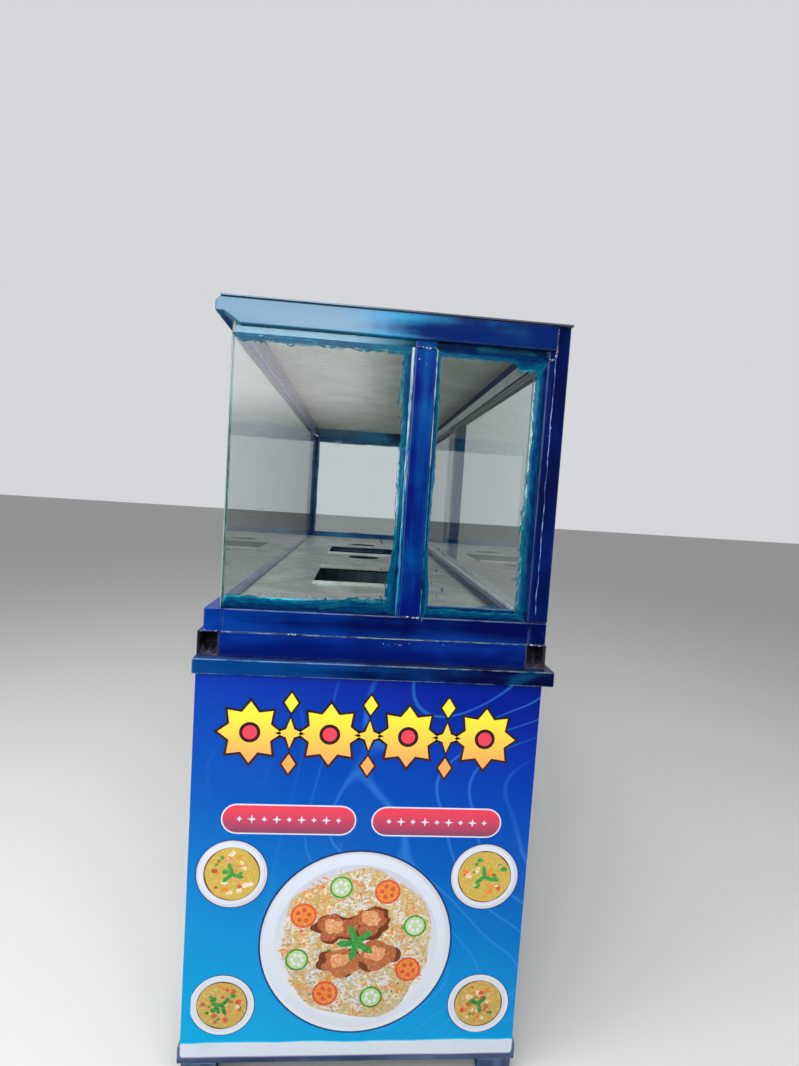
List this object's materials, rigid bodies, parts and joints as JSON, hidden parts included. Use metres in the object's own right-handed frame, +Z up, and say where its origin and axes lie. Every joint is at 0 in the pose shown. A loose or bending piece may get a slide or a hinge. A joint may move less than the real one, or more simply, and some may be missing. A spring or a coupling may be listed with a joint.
{
  "type": "street food counter kiosk",
  "caption": "Free-standing street food counter: sheet-walled steel base, steel counter sheet with round and square cut-outs, and a roofed glass display cabinet.",
  "frame": {"origin": "bottom centre of the bounding box, on the floor under the counter's middle", "axes": "+Z up, +Y along the counter from the pictured near end to the far end, -X the customer side, +X the server side"},
  "size_m": [0.762, 2.134, 1.665],
  "materials": {
    "frame_paint": "thick brushed gloss blue enamel",
    "wall_paint": "gloss blue enamel on sheet steel",
    "strip_paint": "thin brushed teal-blue enamel",
    "ledge_paint": "dull slate-blue enamel",
    "roof_metal": "pale blue-grey coated sheet",
    "banner_print": "printed glossy flex sheet",
    "counter_steel": "dull, smeared stainless sheet",
    "track_metal": "satin aluminium extrusion",
    "ceiling_board": "dull light grey laminate",
    "window_glass": "clear float glass"
  },
  "bodies": {
    "root": {"foot_pads": "frame_paint", "bottom_rails_ends": "frame_paint", "bottom_rails_sides": "frame_paint", "base_uprights": "frame_paint", "end_wall_near": "wall_paint", "end_wall_far": "wall_paint", "side_wall_customer": "wall_paint", "side_wall_server": "wall_paint", "banner_near": "banner_print", "banner_far": "banner_print", "banner_customer": "banner_print", "rim_ends": "frame_paint", "rim_sides": "frame_paint", "lower_tube_customer": "frame_paint", "lower_tube_server": "frame_paint", "lower_cross_tubes": "frame_paint", "sill_near": "frame_paint", "sill_far": "frame_paint", "sill_customer": "frame_paint", "sill_server": "frame_paint", "counter_top": "counter_steel", "counter_bearers": "frame_paint", "track_ledge": "ledge_paint", "track_bottom": "track_metal", "track_top": "track_metal", "post_near_centre": "frame_paint", "post_near_server": "frame_paint", "post_middle_server": "frame_paint", "post_far_customer": "frame_paint", "post_far_server": "frame_paint", "glazing_strips_near": "strip_paint", "glazing_strips_far": "strip_paint", "top_rail_near": "frame_paint", "top_rail_far": "frame_paint", "eave_customer": "frame_paint", "top_rail_server": "frame_paint", "ceiling_board": "ceiling_board", "roof_sheet": "roof_metal", "pane_near_customer": "window_glass", "pane_near_server": "window_glass", "pane_far": "window_glass", "pane_customer": "window_glass", "sliding_pane_near": "window_glass", "sliding_pane_far": "window_glass"}
  },
  "joints": []
}
